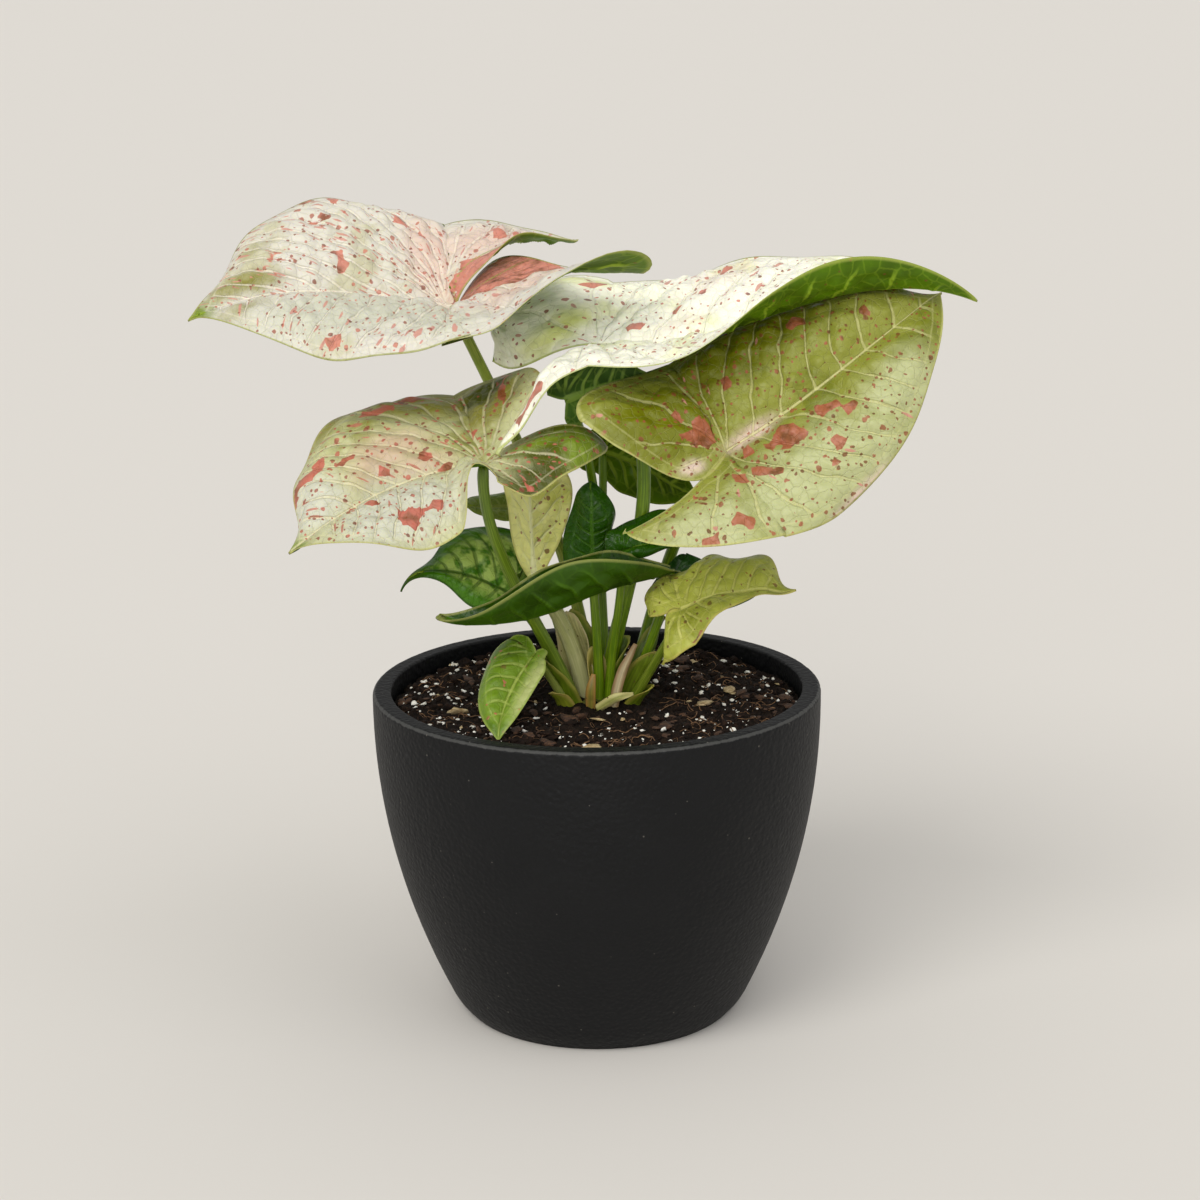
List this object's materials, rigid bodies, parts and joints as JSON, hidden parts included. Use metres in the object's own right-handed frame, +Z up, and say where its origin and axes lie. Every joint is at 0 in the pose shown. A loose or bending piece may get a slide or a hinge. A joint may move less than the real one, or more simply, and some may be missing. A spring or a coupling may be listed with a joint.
{
  "type": "potted syngonium plant",
  "caption": "Variegated arrowhead plant with cream, green and pink flecked leaves on long stalks, growing in soil in a round matt black pot.",
  "frame": {"origin": "centre of the pot's flat foot, on the ground", "axes": "+Z up along the pot's axis; -Y towards the front, where the right-hand leaf faces the viewer; +X to the viewer's right"},
  "size_m": [0.2514, 0.15, 0.2712],
  "materials": {
    "pot": "matt black, finely pebbled",
    "soil": "dark crumbly potting mix with white specks",
    "stem_base": "green, fleshy, dull",
    "stalk": "green, fleshy, satin",
    "variegated_cream": "cream with pink and green flecks, satin",
    "variegated_green": "pale green marbled with cream, pink flecks, satin",
    "variegated_yellow": "yellow-green with pale veins and pink flecks, satin",
    "leaf_green": "mid green, satin",
    "leaf_marbled": "dark green edge, pale marbled centre, satin",
    "leaf_dark": "dark green, satin",
    "leaf_pale": "pale yellowish green, satin"
  },
  "bodies": {
    "root": {"pot": "pot", "soil": "soil", "stem_base": "stem_base", "leaf_upper_left": "variegated_cream", "stalk_upper_left": "stalk", "leaf_middle_left": "variegated_green", "stalk_middle_left": "stalk", "leaf_upper_right": "variegated_cream", "stalk_upper_right": "stalk", "leaf_right": "variegated_yellow", "stalk_right": "stalk", "leaf_inner_top": "leaf_green", "stalk_inner_top": "stalk", "leaf_lower_left": "leaf_marbled", "stalk_lower_left": "stalk", "leaf_front_fold": "leaf_dark", "stalk_front_fold": "stalk", "leaf_centre_upright": "leaf_dark", "stalk_centre_upright": "stalk", "leaf_centre_right": "leaf_dark", "stalk_centre_right": "stalk", "leaf_low_right": "variegated_yellow", "stalk_low_right": "stalk", "leaf_low_right_back": "leaf_dark", "stalk_low_right_back": "stalk", "leaf_front_small": "leaf_green", "stalk_front_small": "stalk", "leaf_young_pale": "leaf_pale", "stalk_young_pale": "stalk", "leaf_back_right": "leaf_green", "stalk_back_right": "stalk", "leaf_back_left": "leaf_pale", "stalk_back_left": "stalk"}
  },
  "joints": []
}
